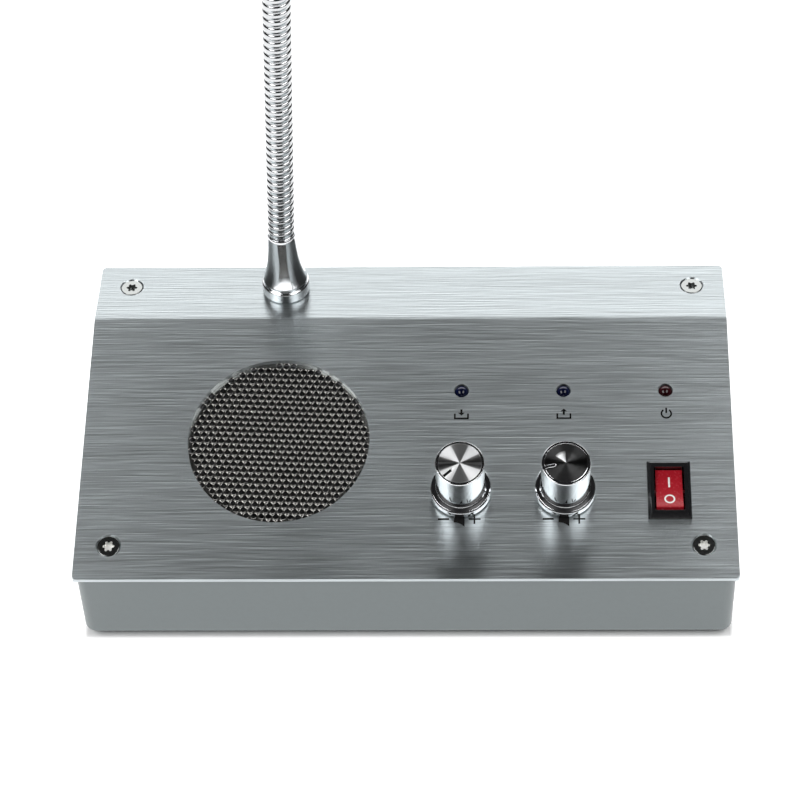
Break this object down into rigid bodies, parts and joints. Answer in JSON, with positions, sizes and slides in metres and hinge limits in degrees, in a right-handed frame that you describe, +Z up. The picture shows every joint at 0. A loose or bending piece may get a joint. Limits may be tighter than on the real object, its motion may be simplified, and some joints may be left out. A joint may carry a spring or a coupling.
{
  "type": "teller window intercom",
  "caption": "Wedge-shaped counter intercom with loudspeaker grille, two level knobs, indicator lamps, rocker switch and gooseneck microphone.",
  "frame": {"origin": "on the counter, under the middle of the case", "axes": "+X to the user's right, +Y to the back, +Z up"},
  "size_m": [0.226, 0.125, 0.4078],
  "materials": {
    "brushed_panel": "fine brushing from side to side, satin",
    "case_paint": "smooth semi-gloss grey paint",
    "zinc_steel": "bright zinc plating",
    "foot_rubber": "matte black",
    "grille_metal": "dark bronze-grey, satin",
    "basket_steel": "dark satin",
    "cone_paper": "matte pressed paper",
    "surround_rubber": "matte black",
    "coil_copper": "copper winding",
    "pole_iron": "turned and plated",
    "magnet_ferrite": "ground ceramic",
    "blue_lamp": "tinted clear resin, unlit",
    "red_lamp": "tinted clear resin, unlit",
    "black_plastic": "moulded",
    "board_laminate": "green lacquer",
    "control_shell": "plated can",
    "shaft_steel": "turned",
    "knob_chrome": "polished",
    "spun_cap": "spun, with circular brushing",
    "bezel_plastic": "glossy black",
    "red_plastic": "glossy red",
    "contact_brass": "plain brass",
    "sink_aluminium": "extruded",
    "can_sleeve": "shrunk sleeve",
    "header_plastic": "moulded",
    "collar_chrome": "polished, turned",
    "neck_chrome": "polished turns",
    "mic_black": "satin black",
    "capsule_metal": "pressed can",
    "mic_mesh": "dark satin"
  },
  "bodies": {
    "housing": {"top_plate": "brushed_panel", "lower_case": "case_paint", "corner_brackets": "zinc_steel", "bracket_nuts": "zinc_steel", "cover_screws": "zinc_steel", "rubber_feet": "foot_rubber", "speaker_grille": "grille_metal", "speaker_basket": "basket_steel", "speaker_cone": "cone_paper", "speaker_surround": "surround_rubber", "speaker_dust_cap": "cone_paper", "voice_coil": "coil_copper", "speaker_front_pole": "pole_iron", "speaker_magnet": "magnet_ferrite", "speaker_yoke": "pole_iron", "speaker_studs": "zinc_steel", "speaker_clamps": "zinc_steel", "speaker_nuts": "zinc_steel", "in_lamp": "blue_lamp", "out_lamp": "blue_lamp", "power_lamp": "red_lamp", "lamp_spacers": "black_plastic", "control_board": "board_laminate", "in_control_body": "control_shell", "out_control_body": "control_shell", "control_washers": "zinc_steel", "control_nuts": "zinc_steel", "switch_body": "bezel_plastic", "switch_terminals": "contact_brass", "main_board": "board_laminate", "board_pillars": "contact_brass", "board_screws": "zinc_steel", "amplifier_chip": "black_plastic", "heat_sink": "sink_aluminium", "capacitors": "can_sleeve", "wire_headers": "header_plastic", "power_socket": "black_plastic", "sub_unit_socket": "black_plastic", "record_socket": "black_plastic", "neck_collar": "collar_chrome", "neck_nut": "zinc_steel"},
    "in_knob": {"in_knob": "knob_chrome", "in_knob_cap": "spun_cap", "in_control_shaft": "shaft_steel"},
    "out_knob": {"out_knob": "knob_chrome", "out_knob_cap": "spun_cap", "out_control_shaft": "shaft_steel"},
    "rocker": {"power_rocker": "red_plastic"},
    "neck_1": {"neck_link_1": "neck_chrome"},
    "neck_2": {"neck_link_2": "neck_chrome"},
    "neck_3": {"neck_link_3": "neck_chrome"},
    "neck_4": {"neck_link_4": "neck_chrome"},
    "neck_5": {"neck_link_5": "neck_chrome"},
    "neck_6": {"neck_link_6": "neck_chrome"},
    "neck_7": {"neck_link_7": "neck_chrome"},
    "neck_8": {"neck_link_8": "neck_chrome", "mic_ferrule": "collar_chrome", "mic_housing": "mic_black", "mic_capsule": "capsule_metal", "mic_grille": "mic_mesh"}
  },
  "joints": [
    {"name": "in_knob_turn", "type": "hinge", "parent": "housing", "child": "in_knob", "pos_m": [0.0186, -0.0308, 0.0411], "axis": [0, -0.2756, 0.9613], "range_deg": [-282, 18]},
    {"name": "out_knob_turn", "type": "hinge", "parent": "housing", "child": "out_knob", "pos_m": [0.0544, -0.0308, 0.0411], "axis": [0, -0.2756, 0.9613], "range_deg": [-252, 48]},
    {"name": "rocker_tilt", "type": "hinge", "parent": "housing", "child": "rocker", "pos_m": [0.0902, -0.03039, 0.03965], "axis": [1, 0, 0], "range_deg": [0, 16]},
    {"name": "neck_forward_1", "type": "hinge", "parent": "housing", "child": "neck_1", "pos_m": [-0.0452, 0.05122, 0.08832], "axis": [0.9986, 0, -0.0523], "range_deg": [-22.5, 22.5]},
    {"name": "neck_sideways_2", "type": "hinge", "parent": "neck_1", "child": "neck_2", "pos_m": [-0.04338, 0.05122, 0.12307], "axis": [0, 1, 0], "range_deg": [-22.5, 22.5]},
    {"name": "neck_forward_3", "type": "hinge", "parent": "neck_2", "child": "neck_3", "pos_m": [-0.04156, 0.05122, 0.15782], "axis": [0.9986, 0, -0.0523], "range_deg": [-22.5, 22.5]},
    {"name": "neck_sideways_4", "type": "hinge", "parent": "neck_3", "child": "neck_4", "pos_m": [-0.03974, 0.05122, 0.19257], "axis": [0, 1, 0], "range_deg": [-22.5, 22.5]},
    {"name": "neck_forward_5", "type": "hinge", "parent": "neck_4", "child": "neck_5", "pos_m": [-0.03791, 0.05122, 0.22732], "axis": [0.9986, 0, -0.0523], "range_deg": [-22.5, 22.5]},
    {"name": "neck_sideways_6", "type": "hinge", "parent": "neck_5", "child": "neck_6", "pos_m": [-0.03609, 0.05122, 0.26208], "axis": [0, 1, 0], "range_deg": [-22.5, 22.5]},
    {"name": "neck_forward_7", "type": "hinge", "parent": "neck_6", "child": "neck_7", "pos_m": [-0.03427, 0.05122, 0.29683], "axis": [0.9986, 0, -0.0523], "range_deg": [-22.5, 22.5]},
    {"name": "neck_sideways_8", "type": "hinge", "parent": "neck_7", "child": "neck_8", "pos_m": [-0.03245, 0.05122, 0.33158], "axis": [0, 1, 0], "range_deg": [-22.5, 22.5]}
  ],
  "couplings": [
    {"joint": "neck_forward_3", "follows": "neck_forward_1", "ratio": 1},
    {"joint": "neck_forward_5", "follows": "neck_forward_1", "ratio": 1},
    {"joint": "neck_forward_7", "follows": "neck_forward_1", "ratio": 1},
    {"joint": "neck_sideways_4", "follows": "neck_sideways_2", "ratio": 1},
    {"joint": "neck_sideways_6", "follows": "neck_sideways_2", "ratio": 1},
    {"joint": "neck_sideways_8", "follows": "neck_sideways_2", "ratio": 1}
  ]
}
